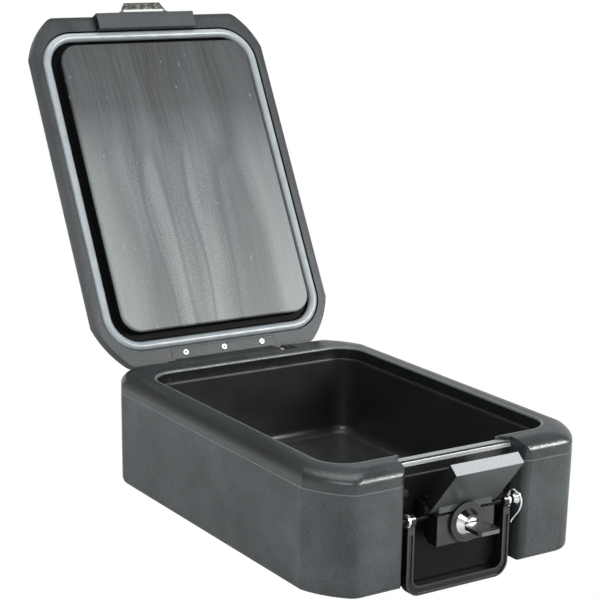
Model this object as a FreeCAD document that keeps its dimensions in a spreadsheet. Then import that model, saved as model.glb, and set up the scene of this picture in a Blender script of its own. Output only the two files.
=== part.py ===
import FreeCAD, Part
import math
import os

# A lidded chest for money and papers, in millimetres.
# X runs along the short front, Y from the front to the hinge, Z up from the floor. Origin under the middle.

doc = FreeCAD.newDocument("CashBox")
sheet = doc.addObject("Spreadsheet::Sheet", "Sizes")

# Driving sizes
SIZES = [
    ("pad_high", 14.0), ("pad_in", 37.0), ("pad_front_in", 54.0), ("pad_rear_in", 28.0), ("pad_round", 16.0),
    ("body_wide", 270.0), ("body_deep", 360.0), ("rear_more", 13.0),
    ("corner_x", 31.0), ("corner_y", 38.0), ("crease_in", 18.0), ("crease_out", 48.0),
    ("rear_corner_x", 28.0), ("rear_corner_y", 34.0),
    ("draft_in", 0.8), ("wall", 3.5), ("base_round", 6.0),
    ("seam_z", 102.0), ("rim_z", 118.0), ("shoulder", 9.5), ("shoulder_in", 15.5), ("rim_round", 1.6),
    ("lip_round", 3.0), ("gate_z", 114.3), ("gate_in", 10.5), ("gate_run", 11.0),
    ("band_x", 22.0), ("band_y", 28.0), ("open_round", 26.0),
    ("ledge_z", 107.0), ("ledge_thick", 3.0), ("ledge_wide", 7.0), ("bead_in", 1.8), ("bead_out", 3.6),
    ("cavity_round", 22.0), ("cavity_draft", 4.0),
    ("floor_z", 34.0), ("floor_round", 10.0), ("liner_wall", 3.0), ("slack", 0.3),
    ("bay_deep", 20.0), ("bay_round", 8.0), ("plate_thick", 2.0), ("plate_low", 9.0),
    ("lid_gap", 2.0), ("lid_high", 24.0), ("lid_wall", 4.0), ("lid_round", 15.5), ("lid_inset", 0.5),
    ("lid_inset_x", 4.5), ("lid_hollow_round", 24.0), ("lid_corner_x", 37.0), ("lid_corner_y", 45.0),
    ("seal_in", 18.5), ("seal_in_y", 21.0), ("seal_corner", 32.0), ("seal_r", 4.5), ("seal_proud", 1.6),
    ("seal_room", 0.9),
    ("panel_in", 30.0), ("panel_in_y", 33.0), ("panel_round", 20.0), ("panel_drop", 8.6), ("panel_seat", 5.0),
    ("panel_edge", 2.0), ("tray_thick", 3.0),
    ("tongue_side", 5.0), ("tongue_drop", 7.0), ("tongue_deep", 19.0), ("tongue_proud", 1.0),
    ("tongue_high", 18.0),
    ("hinge_back", 7.0), ("hinge_z", 109.5), ("pin_r", 2.5), ("barrel_r", 4.5), ("barrel_half", 54.0),
    ("lug_gap", 4.0), ("lug_wide", 12.0), ("lug_r", 7.0), ("run_fit", 0.06), ("collar_r", 4.4),
    ("collar_wide", 3.0),
    ("lid_open", 118.5), ("leaf_more", 4.0), ("leaf_thick", 3.0), ("leaf_deep", 13.0), ("notch_more", 4.0),
    ("notch_low", 103.5), ("notch_in", 12.0), ("leaf_screw_x", 43.0), ("leaf_screw_r", 3.4),
    ("leaf_screw_in", 4.6),
    ("strike_side", 2.3), ("strike_z", 115.6), ("strike_out", 11.3), ("strike_thick", 2.0),
    ("strike_tall", 14.0),
    ("strike_taper", 7.0), ("rivet_x", 18.0), ("rivet_r", 3.0), ("rivet_up", 8.5),
    ("pivot_in", 9.0), ("pivot_z", 76.0), ("lever_lean", 39.0), ("lever_long", 52.5), ("lever_side", 18.3),
    ("lever_thick", 10.6), ("hook_deep", 5.0), ("hook_tall", 4.3), ("hook_side", 4.7), ("hook_room", 16.0),
    ("neck_side", 7.0), ("neck_out", 7.8), ("neck_low", 72.0), ("neck_high", 86.0), ("lever_pin_r", 2.5),
    ("ear_gap", 1.0), ("ear_thick", 5.0), ("ear_r", 6.0), ("base_thick", 3.0),
    ("block_side", 5.0), ("block_out", 19.5), ("block_low", 44.5), ("block_top", 70.0), ("block_wall", 6.0),
    ("hollow_low", 51.0), ("block_chamfer", 6.0), ("boss_r", 16.7), ("boss_thick", 2.6),
    ("lock_z", 61.4), ("barrel_lock_r", 7.0), ("face_r", 11.5), ("face_tip_r", 7.6), ("face_long", 5.4),
    ("plug_r", 5.2), ("lock_room", 7.5), ("nut_flat", 8.4), ("nut_thick", 3.5),
    ("cam_thick", 2.0), ("cam_long", 8.5), ("cam_wide", 10.0), ("cam_screw_r", 3.6), ("cam_screw_thick", 1.6),
    ("key_thick", 2.0), ("key_tall", 7.4), ("key_in", 18.0), ("bow_wide", 22.0), ("bow_long", 22.0),
    ("bow_thick", 3.4), ("bow_gap", 2.0), ("bow_round", 4.0), ("key_slack", 0.25),
    ("axle_in", 12.0), ("axle_z", 67.0), ("axle_r", 2.6), ("handle_half", 52.3), ("leg_wide", 6.8),
    ("leg_deep", 8.0), ("handle_low", 2.5), ("bar_high", 8.2), ("handle_round", 13.0), ("handle_inner", 7.0),
    ("eye_r", 5.6), ("rim_line", 1.7), ("rim_depth", 0.9), ("handle_gap", 7.7),
    ("cap_r", 6.5), ("cap_thick", 3.2),
    ("wire_r", 1.0), ("wire_turn", 10.4), ("wire_tail", 10.0), ("wire_gap", 1.8), ("wire_swell", 4.2),
    ("screw_side", 11.0), ("screw_z", 88.0), ("screw_r", 3.2), ("screw_high", 1.8),
    ("half_wide", "=body_wide / 2"), ("half_deep", "=body_deep / 2"),
    ("pad_half", "=half_wide - pad_in"), ("pad_front", "=half_deep - pad_front_in"),
    ("pad_rear", "=half_deep - pad_rear_in"),
    ("open_x", "=half_wide - band_x"), ("open_y", "=half_deep - band_y"),
    ("cavity_x", "=open_x - ledge_wide"), ("cavity_y", "=open_y - ledge_wide"),
    ("seal_x", "=half_wide - seal_in"), ("seal_y", "=half_deep - seal_in_y"),
    ("lid_hollow_x", "=seal_x - seal_r - 2 * seal_room"),
    ("lid_hollow_y", "=seal_y - seal_r - 2 * seal_room"),
    ("panel_x", "=half_wide - panel_in"), ("panel_y", "=half_deep - panel_in_y"),
    ("hinge_y", "=half_deep + hinge_back"), ("notch_y", "=half_deep - notch_in"),
    ("lug_in", "=barrel_half + lug_gap"), ("lug_out", "=lug_in + lug_wide"),
    ("notch_half", "=lug_in + notch_more"), ("leaf_half", "=barrel_half + leaf_more"),
    ("bay_half", "=handle_half + handle_gap"), ("bay_back", "=half_deep - bay_deep"),
    ("tongue_half", "=bay_half - tongue_side"), ("screw_x", "=bay_half - screw_side"),
    ("lever_half", "=handle_half - lever_side"), ("hook_half", "=lever_half - hook_side"),
    ("neck_half", "=lever_half - neck_side"), ("ear_in", "=lever_half + ear_gap"),
    ("block_half", "=lever_half - block_side"), ("strike_half", "=hook_half - strike_side"),
    ("pivot_y", "=half_deep - pivot_in"), ("neck_front", "=pivot_y + neck_out"),
    ("block_front", "=bay_back + block_out"), ("lock_end", "=bay_back + lock_room"),
    ("axle_y", "=half_deep - axle_in"), ("wire_x", "=handle_half + wire_gap"),
]
for row, (alias, value) in enumerate(SIZES, start=1):
    sheet.set("A%d" % row, alias)
    sheet.set("B%d" % row, str(value))
    sheet.setAlias("B%d" % row, alias)
doc.recompute()


def size(alias):
    return float(sheet.get(alias))


def tie(obj, prop, text):
    words = []
    for word in text.split():
        if word[0].isalpha() and word not in ("deg",):
            word = "Sizes." + word
        words.append(word)
    obj.setExpression(prop, " ".join(words))


def place(obj, x, y, z):
    tie(obj, "Placement.Base.x", x)
    tie(obj, "Placement.Base.y", y)
    tie(obj, "Placement.Base.z", z)


def box(name, length, width, height, x, y, z):
    obj = doc.addObject("Part::Box", name)
    tie(obj, "Length", length)
    tie(obj, "Width", width)
    tie(obj, "Height", height)
    place(obj, x, y, z)
    return obj


def turn_to(obj, axis):
    if axis == "x":
        obj.Placement = FreeCAD.Placement(FreeCAD.Vector(), FreeCAD.Rotation(FreeCAD.Vector(0, 1, 0), 90))
    if axis == "y":
        obj.Placement = FreeCAD.Placement(FreeCAD.Vector(), FreeCAD.Rotation(FreeCAD.Vector(1, 0, 0), -90))


def rod(name, axis, radius, long, x, y, z):
    obj = doc.addObject("Part::Cylinder", name)
    turn_to(obj, axis)
    tie(obj, "Radius", radius)
    tie(obj, "Height", long)
    place(obj, x, y, z)
    return obj


def cone(name, axis, start, end, long, x, y, z):
    obj = doc.addObject("Part::Cone", name)
    turn_to(obj, axis)
    tie(obj, "Radius1", start)
    tie(obj, "Radius2", end)
    tie(obj, "Height", long)
    place(obj, x, y, z)
    return obj


def cut(name, base, tool):
    obj = doc.addObject("Part::Cut", name)
    obj.Base = base
    obj.Tool = tool
    return obj


def fuse(name, shapes):
    obj = doc.addObject("Part::MultiFuse", name)
    obj.Shapes = shapes
    obj.Refine = True
    return obj


def group(name, shapes):
    obj = doc.addObject("Part::Compound", name)
    obj.Links = shapes
    return obj


def rounded(name, base, radius, wanted):
    doc.recompute()
    obj = doc.addObject("Part::Fillet", name)
    obj.Base = base
    chosen = []
    for number, edge in enumerate(base.Shape.Edges, start=1):
        if wanted(edge):
            chosen.append((number, radius, radius))
    obj.Edges = chosen
    return obj


def bevelled(name, base, first, second, wanted):
    doc.recompute()
    obj = doc.addObject("Part::Chamfer", name)
    obj.Base = base
    chosen = []
    for number, edge in enumerate(base.Shape.Edges, start=1):
        if wanted(edge):
            chosen.append((number, first, second))
    obj.Edges = chosen
    return obj


def along(edge, axis):
    first = edge.Vertexes[0].Point
    last = edge.Vertexes[-1].Point
    step = last - first
    return step.Length > 0.01 and abs(step.dot(axis)) > 0.9999 * step.Length


def made(name, shape):
    obj = doc.addObject("Part::Feature", name)
    obj.Shape = shape
    return obj


nodes = {}


def node(name, obj):
    obj.Label = name
    nodes[name] = obj
    return obj


EX = FreeCAD.Vector(1, 0, 0)
EY = FreeCAD.Vector(0, 1, 0)
EZ = FreeCAD.Vector(0, 0, 1)


# Plan outline: straight sides, and corners that break at a crease and curve round to the front and the rear
def corner_of(half_x, half_y, run_x, run_y):
    start = math.radians(size("crease_in"))
    end = math.radians(size("crease_out"))
    a = math.cos(start) - math.cos(end)
    b = math.cos(end)
    c = math.sin(end) - math.sin(start)
    d = 1.0 - math.sin(end)
    det = a * d - b * c
    big = (run_x * d - b * run_y) / det
    small = (a * run_y - c * run_x) / det
    px = half_x
    py = -half_y + run_y
    cx = px - big * math.cos(start)
    cy = py + big * math.sin(start)
    qx = cx + big * math.cos(end)
    qy = cy - big * math.sin(end)
    ex = qx - small * math.cos(end)
    ey = qy + small * math.sin(end)
    mid = (start + end) / 2.0
    late = (end + math.pi / 2.0) / 2.0
    return [
        (px, py),
        (cx + big * math.cos(mid), cy - big * math.sin(mid)),
        (qx, qy),
        (ex + small * math.cos(late), ey - small * math.sin(late)),
        (half_x - run_x, -half_y),
    ]


def plan(half_x, half_y, level, rear):
    more, rear_x, rear_y = rear
    corner = corner_of(half_x, half_y, size("corner_x"), size("corner_y"))
    behind = corner_of(half_x, half_y, rear_x, rear_y)
    rounds = []
    rounds.append([(x, y) for x, y in corner])
    rounds.append([(-x, y) for x, y in reversed(corner)])
    rounds.append([(-x, more - y) for x, y in behind])
    rounds.append([(x, more - y) for x, y in reversed(behind)])
    edges = []
    for number, points in enumerate(rounds):
        spots = [FreeCAD.Vector(x, y, level) for x, y in points]
        edges.append(Part.Arc(spots[0], spots[1], spots[2]).toShape())
        edges.append(Part.Arc(spots[2], spots[3], spots[4]).toShape())
        after = rounds[(number + 1) % 4][0]
        edges.append(Part.LineSegment(spots[4], FreeCAD.Vector(after[0], after[1], level)).toShape())
    return Part.Wire(edges)


def prism(half_x, half_y, low, high, rear):
    return Part.Face(plan(half_x, half_y, low, rear)).extrude(FreeCAD.Vector(0, 0, high - low))


def tapered(low_x, low_y, low, high_x, high_y, high, rear):
    return Part.makeLoft([plan(low_x, low_y, low, rear), plan(high_x, high_y, high, rear)], True, True)


def crown(wide, deep, level, radius, rise, rear):
    wires = []
    for step in range(6):
        angle = math.radians(18.0 * step)
        less = radius * (1.0 - math.cos(angle))
        wires.append(plan(wide - less, deep - less, level + rise * math.sin(angle), rear))
    return Part.makeLoft(wires, True, False)


def slab(half_x, half_y, radius, low, high):
    shape = Part.makeBox(2 * half_x, 2 * half_y, high - low, FreeCAD.Vector(-half_x, -half_y, low))
    corners = [edge for edge in shape.Edges if along(edge, EZ)]
    return shape.makeFillet(radius, corners)


def round_wire(half_x, half_y, radius, level):
    face = slab(half_x, half_y, radius, level, level + 1.0)
    for side in face.Faces:
        if abs(side.CenterOfMass.z - level) < 1e-6:
            return side.OuterWire


def block(x0, x1, y0, y1, z0, z1):
    return Part.makeBox(x1 - x0, y1 - y0, z1 - z0, FreeCAD.Vector(x0, y0, z0))


def level_edges(shape, level, reach_x, reach_y):
    found = []
    for edge in shape.Edges:
        box_of = edge.BoundBox
        flat = abs(box_of.ZMin - level) < 1e-4 and abs(box_of.ZMax - level) < 1e-4
        centre = edge.CenterOfMass
        if flat and (abs(centre.x) > reach_x or abs(centre.y) > reach_y):
            found.append(edge)
    return found


half_x = size("body_wide") / 2.0
half_y = size("body_deep") / 2.0
base_z = size("pad_high")
seam_z = size("seam_z")
rim_z = size("rim_z")
bay = size("bay_half")
bay_y = -size("bay_back")
wall = size("wall")
far = 2.0 * size("body_deep")
body_rear = (size("rear_more"), size("rear_corner_x"), size("rear_corner_y"))
lid_rear = (0.0, size("lid_corner_x"), size("lid_corner_y"))

# Outer shell: the lower moulding, narrower at the floor, with the upright bay in its front
low_x = half_x - size("draft_in")
low_y = half_y - size("draft_in")
turn_z = base_z + size("base_round")
outside = tapered(low_x, low_y, turn_z, half_x, half_y, seam_z, body_rear)
base_round = size("base_round")
outside = outside.fuse(crown(low_x, low_y, turn_z, base_round, -base_round, body_rear)).removeSplitter()
inset = size("draft_in") + wall
inside = tapered(half_x - inset, half_y - inset, base_z + wall, half_x - wall, half_y - wall, seam_z + 1.0,
                 body_rear)


def upright(half, low, high):
    points = half + [(-x, y) for x, y in reversed(half)]
    spots = [FreeCAD.Vector(x, y, low) for x, y in points]
    return Part.Face(Part.makePolygon(spots + spots[:1])).extrude(FreeCAD.Vector(0, 0, high - low))


# The bay is square behind, and its mouth is rounded off into the front of the body
mouth = size("bay_round")
bay_half = [(bay + mouth, -far), (bay + mouth, -half_y), (bay, -half_y), (bay, bay_y)]
bay_space = upright(bay_half, -1.0, rim_z + 1.0)
for side in (-1, 1):
    start = bay if side > 0 else -bay - mouth
    nook = block(start, start + mouth, -half_y, -half_y + mouth, -1.0, rim_z + 1.0)
    centre = FreeCAD.Vector(side * (bay + mouth), -half_y + mouth, -1.0)
    bay_space = bay_space.fuse(nook.cut(Part.makeCylinder(mouth, rim_z + 2.0, centre)))
bay_jacket = block(-bay - wall, bay + wall, -far, bay_y + wall, -1.0, rim_z + 1.0)
hollow = inside.cut(bay_jacket)
node("outer_shell", made("OuterShell", outside.cut(bay_space).cut(hollow)))

# Rim frame: the moulding above the seam, with the shoulder, the flat band, the front notch and the hinge lugs
shoulder = size("shoulder")
turn_z = rim_z - shoulder
band = prism(half_x, half_y, seam_z, turn_z, body_rear)
band = band.fuse(crown(half_x, half_y, turn_z, size("shoulder_in"), shoulder, body_rear)).removeSplitter()
band = band.cut(slab(size("open_x"), size("open_y"), size("open_round"), seam_z - 1.0, rim_z + 1.0))
rim_inner = []
for edge in band.Edges:
    box_of = edge.BoundBox
    if abs(box_of.ZMin - rim_z) < 1e-4 and box_of.XMax < size("open_x") + 0.1:
        if box_of.XMin > -size("open_x") - 0.1 and abs(edge.CenterOfMass.y) < size("open_y") + 0.1:
            rim_inner.append(edge)
band = band.makeFillet(size("rim_round"), rim_inner)
gate_z = size("gate_z")
gate_y = -size("open_y")
inner = bay - size("gate_in")
gate = [(bay, -far), (bay, gate_y - size("gate_run")), (inner, gate_y), (inner, gate_y + 1.0)]
notch_front = upright(gate, gate_z, rim_z + 1.0)
lip_r = size("lip_round")
nose = upright(gate, gate_z - lip_r, gate_z).common(block(-bay, bay, bay_y - 1.0, bay_y + lip_r, 0.0, rim_z))
nose = nose.cut(Part.makeCylinder(lip_r, 2 * bay, FreeCAD.Vector(-bay, bay_y + lip_r, gate_z - lip_r), EX))
nub = size("notch_half")
notch_rear = block(-nub, nub, size("notch_y"), far, size("notch_low"), rim_z + 1.0)
band = band.cut(bay_space).cut(notch_front).cut(nose).cut(notch_rear)
hinge_y = size("hinge_y")
hinge_z = size("hinge_z")
for side in (-1, 1):
    near = side * size("lug_in")
    reach = size("lug_out") - size("lug_in")
    shift = near if side > 0 else near - reach
    lug = Part.makeCylinder(size("lug_r"), reach, FreeCAD.Vector(shift, hinge_y, hinge_z), EX)
    root = block(shift, shift + reach, half_y - 6.0, hinge_y, seam_z, hinge_z + size("lug_r"))
    lug = lug.fuse(root)
    band = band.fuse(lug)
pin_bore = Part.makeCylinder(
    size("pin_r") + size("run_fit"), 2 * size("lug_out") - 4.0,
    FreeCAD.Vector(-size("lug_out") + 2.0, hinge_y, hinge_z), EX)
band = band.cut(pin_bore).removeSplitter()
node("rim_frame", made("RimFrame", band))

# Inner liner: the black tub, with a ledge at its mouth that carries the seal bead
slack = size("slack")
ledge_z = size("ledge_z")
cav_x = size("cavity_x")
cav_y = size("cavity_y")
cav_r = size("cavity_round")
lin = size("liner_wall")
drop = size("cavity_draft")


def tub(grow, low, high):
    lower = round_wire(cav_x - drop + grow, cav_y - drop + grow, cav_r - drop + grow, low)
    upper = round_wire(cav_x + grow, cav_y + grow, cav_r + grow, high)
    return Part.makeLoft([lower, upper], True, True)


tub_out = tub(lin, size("floor_z") - lin, ledge_z)
tub_out = tub_out.makeFillet(size("floor_round") + lin, level_edges(tub_out, size("floor_z") - lin, 0.0, 0.0))
tub_in = tub(0.0, size("floor_z"), ledge_z)
tub_in = tub_in.makeFillet(size("floor_round"), level_edges(tub_in, size("floor_z"), 0.0, 0.0))
flange = slab(size("open_x") - slack, size("open_y") - slack, size("open_round") - slack,
              ledge_z - size("ledge_thick"), ledge_z)
liner = tub_out.fuse(flange).cut(tub_in)
edge_out = size("bead_out")
edge_in = size("bead_in")
bead = slab(cav_x + edge_out, cav_y + edge_out, cav_r + edge_out, ledge_z - 0.5, ledge_z + 1.0)
bead = bead.cut(slab(cav_x + edge_in, cav_y + edge_in, cav_r + edge_in, ledge_z - 1.0, ledge_z + 2.0))
bead_top = level_edges(bead, ledge_z + 1.0, 0.0, 0.0)
bead = bead.makeFillet(0.7, bead_top)
node("inner_liner", made("InnerLiner", liner.fuse(bead).removeSplitter()))

# Insulation between the shell and the liner
fill_in = inset + slack
fill = tapered(half_x - fill_in, half_y - fill_in, base_z + wall, half_x - wall - slack,
               half_y - wall - slack, seam_z, body_rear)
fill = fill.cut(block(-bay - wall - slack, bay + wall + slack, -far, bay_y + wall + slack, -1.0, rim_z))
room = tub(lin + slack, size("floor_z") - lin - slack, ledge_z)
fill = fill.cut(room)
node("body_insulation", made("BodyInsulation", fill))

# Rubber pad under the shell, set well in from the edge
pad_block = box("BasePadBlock", "2 * pad_half", "pad_front + pad_rear", "pad_high", "0 - pad_half",
                "0 - pad_front", "0")
node("base_pad", rounded("BasePad", pad_block, size("pad_round"), lambda edge: along(edge, EZ)))

# Black plate on the back of the bay, with its two screws
plate = box("BayPlateBlock", "2 * bay_half - 1", "plate_thick", "seam_z - plate_low - 1",
            "0.5 - bay_half", "0 - bay_back - plate_thick", "plate_low")
node("bay_plate", plate)
heads = []
for sign in ("", "-"):
    head = cone("PlateScrew" + ("R" if sign == "" else "L"), "y", "screw_r * 0.7", "screw_r", "screw_high",
                sign + "1 * screw_x", "0 - bay_back - plate_thick - screw_high", "screw_z")
    heads.append(head)
node("plate_screws", group("PlateScrews", heads))

# Lock block: a hollow body on the plate, with a round boss and two ears for the lever pin
core = box("BlockCore", "2 * block_half", "block_front - bay_back - plate_thick", "block_top - block_low",
           "0 - block_half", "0 - block_front", "block_low")
core = bevelled("BlockBevel", core, size("block_chamfer"), size("block_chamfer"),
                lambda edge: along(edge, EX) and edge.CenterOfMass.z < size("block_low") + 0.1
                and edge.CenterOfMass.y > -size("block_front") + 1.0)
boss = rod("BlockBoss", "y", "boss_r", "boss_thick", "0", "0 - block_front - boss_thick", "lock_z")
base = box("BlockBase", "2 * ear_in + 2 * ear_thick", "base_thick", "pivot_z + ear_r - block_low - 10",
           "0 - ear_in - ear_thick", "0 - bay_back - plate_thick - base_thick", "block_low + 10")
ears = []
for sign, tag in (("", "R"), ("-", "L")):
    start = "ear_in" if sign == "" else "0 - ear_in - ear_thick"
    ears.append(rod("Ear" + tag, "x", "ear_r", "ear_thick", start, "0 - pivot_y", "pivot_z"))
    ears.append(box("EarRoot" + tag, "ear_thick", "pivot_y - bay_back - plate_thick", "2 * ear_r",
                    start, "0 - pivot_y", "pivot_z - ear_r"))
solid = fuse("BlockSolid", [core, boss, base] + ears)
hollow_block = box("BlockHollow", "2 * block_half - 2 * block_wall",
                   "block_front - block_wall - bay_back - plate_thick", "block_top - hollow_low + 1",
                   "block_wall - block_half", "block_wall - block_front", "hollow_low")
bore = rod("BlockBore", "y", "barrel_lock_r + run_fit", "block_wall + boss_thick + 2", "0",
           "0 - block_front - boss_thick - 1", "lock_z")
pin_hole = rod("BlockPinHole", "x", "lever_pin_r + run_fit", "2 * ear_in + 2 * ear_thick + 2",
               "0 - ear_in - ear_thick - 1", "0 - pivot_y", "pivot_z")
holes = fuse("BlockHoles", [hollow_block, bore, pin_hole])
node("lock_block", cut("LockBlock", solid, holes))

# Pin of the latch lever
pin = rod("LeverPinRod", "x", "lever_pin_r", "2 * ear_in + 2 * ear_thick + 2", "0 - ear_in - ear_thick - 1",
          "0 - pivot_y", "pivot_z")
node("lever_pin", pin)

# Latch lever: a thick plate that leans forward, with a hook behind its top and a neck pad over the lock
plank = box("LeverPlank", "2 * lever_half", "lever_thick", "lever_long", "0 - lever_half",
            "0 - lever_thick / 2", "0")
knuckle = rod("LeverKnuckle", "x", "lever_thick / 2", "2 * lever_half", "0 - lever_half", "0", "0")
upright = fuse("LeverUpright", [plank, knuckle])
catch = box("LeverCatch", "2 * hook_half", "hook_deep + 1", "hook_room", "0 - hook_half",
            "lever_thick / 2 - hook_deep", "lever_long - hook_tall - hook_room")
leaning = cut("LeverLeaning", upright, catch)
lean = FreeCAD.Rotation(EX, size("lever_lean"))
leaning.Placement = FreeCAD.Placement(FreeCAD.Vector(0, -size("pivot_y"), size("pivot_z")), lean)
neck = box("LeverNeck", "2 * neck_half", "neck_front - pivot_y", "neck_high - neck_low",
           "0 - neck_half", "0 - neck_front", "neck_low")
lever_solid = fuse("LeverSolid", [leaning, neck])
lever_bore = rod("LeverBore", "x", "lever_pin_r + run_fit", "2 * lever_half + 2", "0 - lever_half - 1",
                 "0 - pivot_y", "pivot_z")
node("latch_lever", cut("LatchLever", lever_solid, lever_bore))

# Lock cylinder with a conical face, its nut, the turning plug, the cam and the key
body = rod("LockBarrel", "y", "barrel_lock_r", "block_front + boss_thick - lock_end", "0",
           "0 - block_front - boss_thick", "lock_z")
face = cone("LockFace", "y", "face_tip_r", "face_r", "face_long", "0",
            "0 - block_front - boss_thick - face_long", "lock_z")
lock_solid = fuse("LockSolid", [body, face])
lock_bore = rod("LockBore", "y", "plug_r + run_fit", "block_front + boss_thick + face_long - lock_end + 2",
                "0",
                "0 - block_front - boss_thick - face_long - 1", "lock_z")
node("lock_cylinder", cut("LockCylinder", lock_solid, lock_bore))

nut = doc.addObject("Part::Prism", "LockNutHex")
nut.Polygon = 6
turn_to(nut, "y")
tie(nut, "Circumradius", "nut_flat / 0.8660254")
tie(nut, "Height", "nut_thick")
place(nut, "0", "block_wall + slack - block_front", "lock_z")
nut_bore = rod("LockNutBore", "y", "barrel_lock_r + run_fit", "nut_thick + 2", "0",
               "block_wall - block_front - 1",
               "lock_z")
node("lock_nut", cut("LockNut", nut, nut_bore))

plug_rod = rod("PlugRod", "y", "plug_r", "block_front + boss_thick + face_long + 0.4 - lock_end + 0.8", "0",
               "0 - block_front - boss_thick - face_long - 0.4", "lock_z")
keyway = box("PlugKeyway", "key_tall + 2 * key_slack", "key_in + 2", "key_thick + 2 * key_slack",
             "0 - key_tall / 2 - key_slack", "0 - block_front - boss_thick - face_long - 1.4",
             "lock_z - key_thick / 2 - key_slack")
node("lock_plug", cut("LockPlug", plug_rod, keyway))

cam_bar = box("CamBar", "cam_long", "cam_thick", "cam_wide", "0", "1 - lock_end", "lock_z - cam_wide / 2")
cam_hub = rod("CamHub", "y", "cam_wide / 2", "cam_thick", "0", "1 - lock_end", "lock_z")
node("lock_cam", fuse("LockCam", [cam_bar, cam_hub]))
cam_head = rod("CamScrewHead", "y", "cam_screw_r", "cam_screw_thick", "0", "1 + cam_thick - lock_end",
               "lock_z")
node("cam_screw", cam_head)

blade = box("KeyBlade", "key_tall", "key_in + bow_gap", "key_thick", "0 - key_tall / 2",
            "0 - block_front - boss_thick - face_long - bow_gap", "lock_z - key_thick / 2")
bow = box("KeyBowPlate", "bow_wide", "bow_long", "bow_thick", "0 - bow_wide / 2",
          "0 - block_front - boss_thick - face_long - bow_gap - bow_long", "lock_z - bow_thick / 2")
bow = rounded("KeyBow", bow, size("bow_round"), lambda edge: along(edge, EZ))
node("key", fuse("Key", [blade, bow]))

# Bail handle on two stub pins
legs_out = box("HandleOuter", "2 * handle_half", "leg_deep", "axle_z - handle_low", "0 - handle_half",
               "0 - axle_y - leg_deep / 2", "handle_low")
legs_out = rounded("HandleOuterRound", legs_out, size("handle_round"),
                   lambda edge: along(edge, EY) and edge.CenterOfMass.z < size("handle_low") + 0.1)
legs_in = box("HandleInner", "2 * handle_half - 2 * leg_wide", "leg_deep + 2",
              "axle_z - handle_low - bar_high + 1", "leg_wide - handle_half",
              "0 - axle_y - leg_deep / 2 - 1", "handle_low + bar_high")
legs_in = rounded("HandleInnerRound", legs_in, size("handle_inner"),
                  lambda edge: along(edge, EY)
                  and edge.CenterOfMass.z < size("handle_low") + size("bar_high") + 0.1)
hoop = cut("HandleHoop", legs_out, legs_in)
line_out = box("HandleLineOuter", "2 * handle_half - 2 * rim_line", "rim_depth + 1",
               "axle_z - handle_low - rim_line - 2 * eye_r", "rim_line - handle_half",
               "0 - axle_y - leg_deep / 2 - 1", "handle_low + rim_line")
line_out = rounded("HandleLineOuterRound", line_out, size("handle_round") - size("rim_line"),
                   lambda edge: along(edge, EY)
                   and edge.CenterOfMass.z < size("handle_low") + size("rim_line") + 0.1)
line_in = box("HandleLineInner", "2 * handle_half - 2 * leg_wide + 2 * rim_line", "rim_depth + 3",
              "axle_z - handle_low", "leg_wide - rim_line - handle_half", "0 - axle_y - leg_deep / 2 - 2",
              "handle_low + bar_high - rim_line")
line_in = rounded("HandleLineInnerRound", line_in, size("handle_inner") + size("rim_line"),
                  lambda edge: along(edge, EY)
                  and edge.CenterOfMass.z < size("handle_low") + size("bar_high") - size("rim_line") + 0.1)
channel = cut("HandleChannel", line_out, line_in)
grooved = cut("HandleGrooved", hoop, channel)
eye_r = rod("HandleEyeR", "x", "eye_r", "leg_wide", "handle_half - leg_wide", "0 - axle_y", "axle_z")
eye_l = rod("HandleEyeL", "x", "eye_r", "leg_wide", "0 - handle_half", "0 - axle_y", "axle_z")
handle_solid = fuse("HandleSolid", [grooved, eye_r, eye_l])
handle_bore = rod("HandleBore", "x", "axle_r + run_fit", "2 * handle_half + 2", "0 - handle_half - 1",
                  "0 - axle_y",
                  "axle_z")
node("bail_handle", cut("BailHandle", handle_solid, handle_bore))

stub_r = rod("StubR", "x", "axle_r", "bay_half - cap_thick - block_half", "block_half", "0 - axle_y",
             "axle_z")
stub_l = rod("StubL", "x", "axle_r", "bay_half - cap_thick - block_half", "cap_thick - bay_half",
             "0 - axle_y",
             "axle_z")
node("handle_pins", group("HandlePins", [stub_r, stub_l]))
cap_right = cone("CapR", "x", "cap_r * 0.55", "cap_r", "cap_thick", "bay_half - cap_thick", "0 - axle_y",
                 "axle_z")
cap_left = cone("CapL", "x", "cap_r", "cap_r * 0.55", "cap_thick", "0 - bay_half", "0 - axle_y", "axle_z")
node("pin_caps", group("PinCaps", [cap_right, cap_left]))

# Wire clip at the right pin: up from the pin, forward and outward round the cap, and back down to a tail
wire_x = size("wire_x")
pin_z = size("axle_z")
pin_y = -size("axle_y")
hold = size("axle_r") + size("wire_r") + 0.15
turn = size("wire_turn")
swell = size("wire_swell")
tail = size("wire_tail")
run = [
    FreeCAD.Vector(wire_x, pin_y, pin_z + hold),
    FreeCAD.Vector(wire_x, pin_y - turn * 0.30, pin_z + turn * 0.88),
    FreeCAD.Vector(wire_x + swell * 0.45, pin_y - turn * 0.78, pin_z + turn * 0.74),
    FreeCAD.Vector(wire_x + swell * 0.95, pin_y - turn * 1.02, pin_z + turn * 0.20),
    FreeCAD.Vector(wire_x + swell, pin_y - turn * 0.98, pin_z - turn * 0.35),
    FreeCAD.Vector(wire_x + swell * 0.8, pin_y - turn * 0.78, pin_z - turn * 0.90),
    FreeCAD.Vector(wire_x + swell * 0.5, pin_y - turn * 0.50, pin_z - turn * 0.90 - tail * 0.45),
    FreeCAD.Vector(wire_x + swell * 0.2, pin_y - turn * 0.25, pin_z - turn * 0.90 - tail),
]
curve = Part.BSplineCurve()
curve.interpolate(run)
spine = Part.Wire([curve.toShape()])
ring = Part.Wire([Part.makeCircle(size("wire_r"), run[0], curve.tangent(curve.FirstParameter)[0])])
node("wire_clip", made("WireClip", spine.makePipe(Part.Face(ring))))

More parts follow.
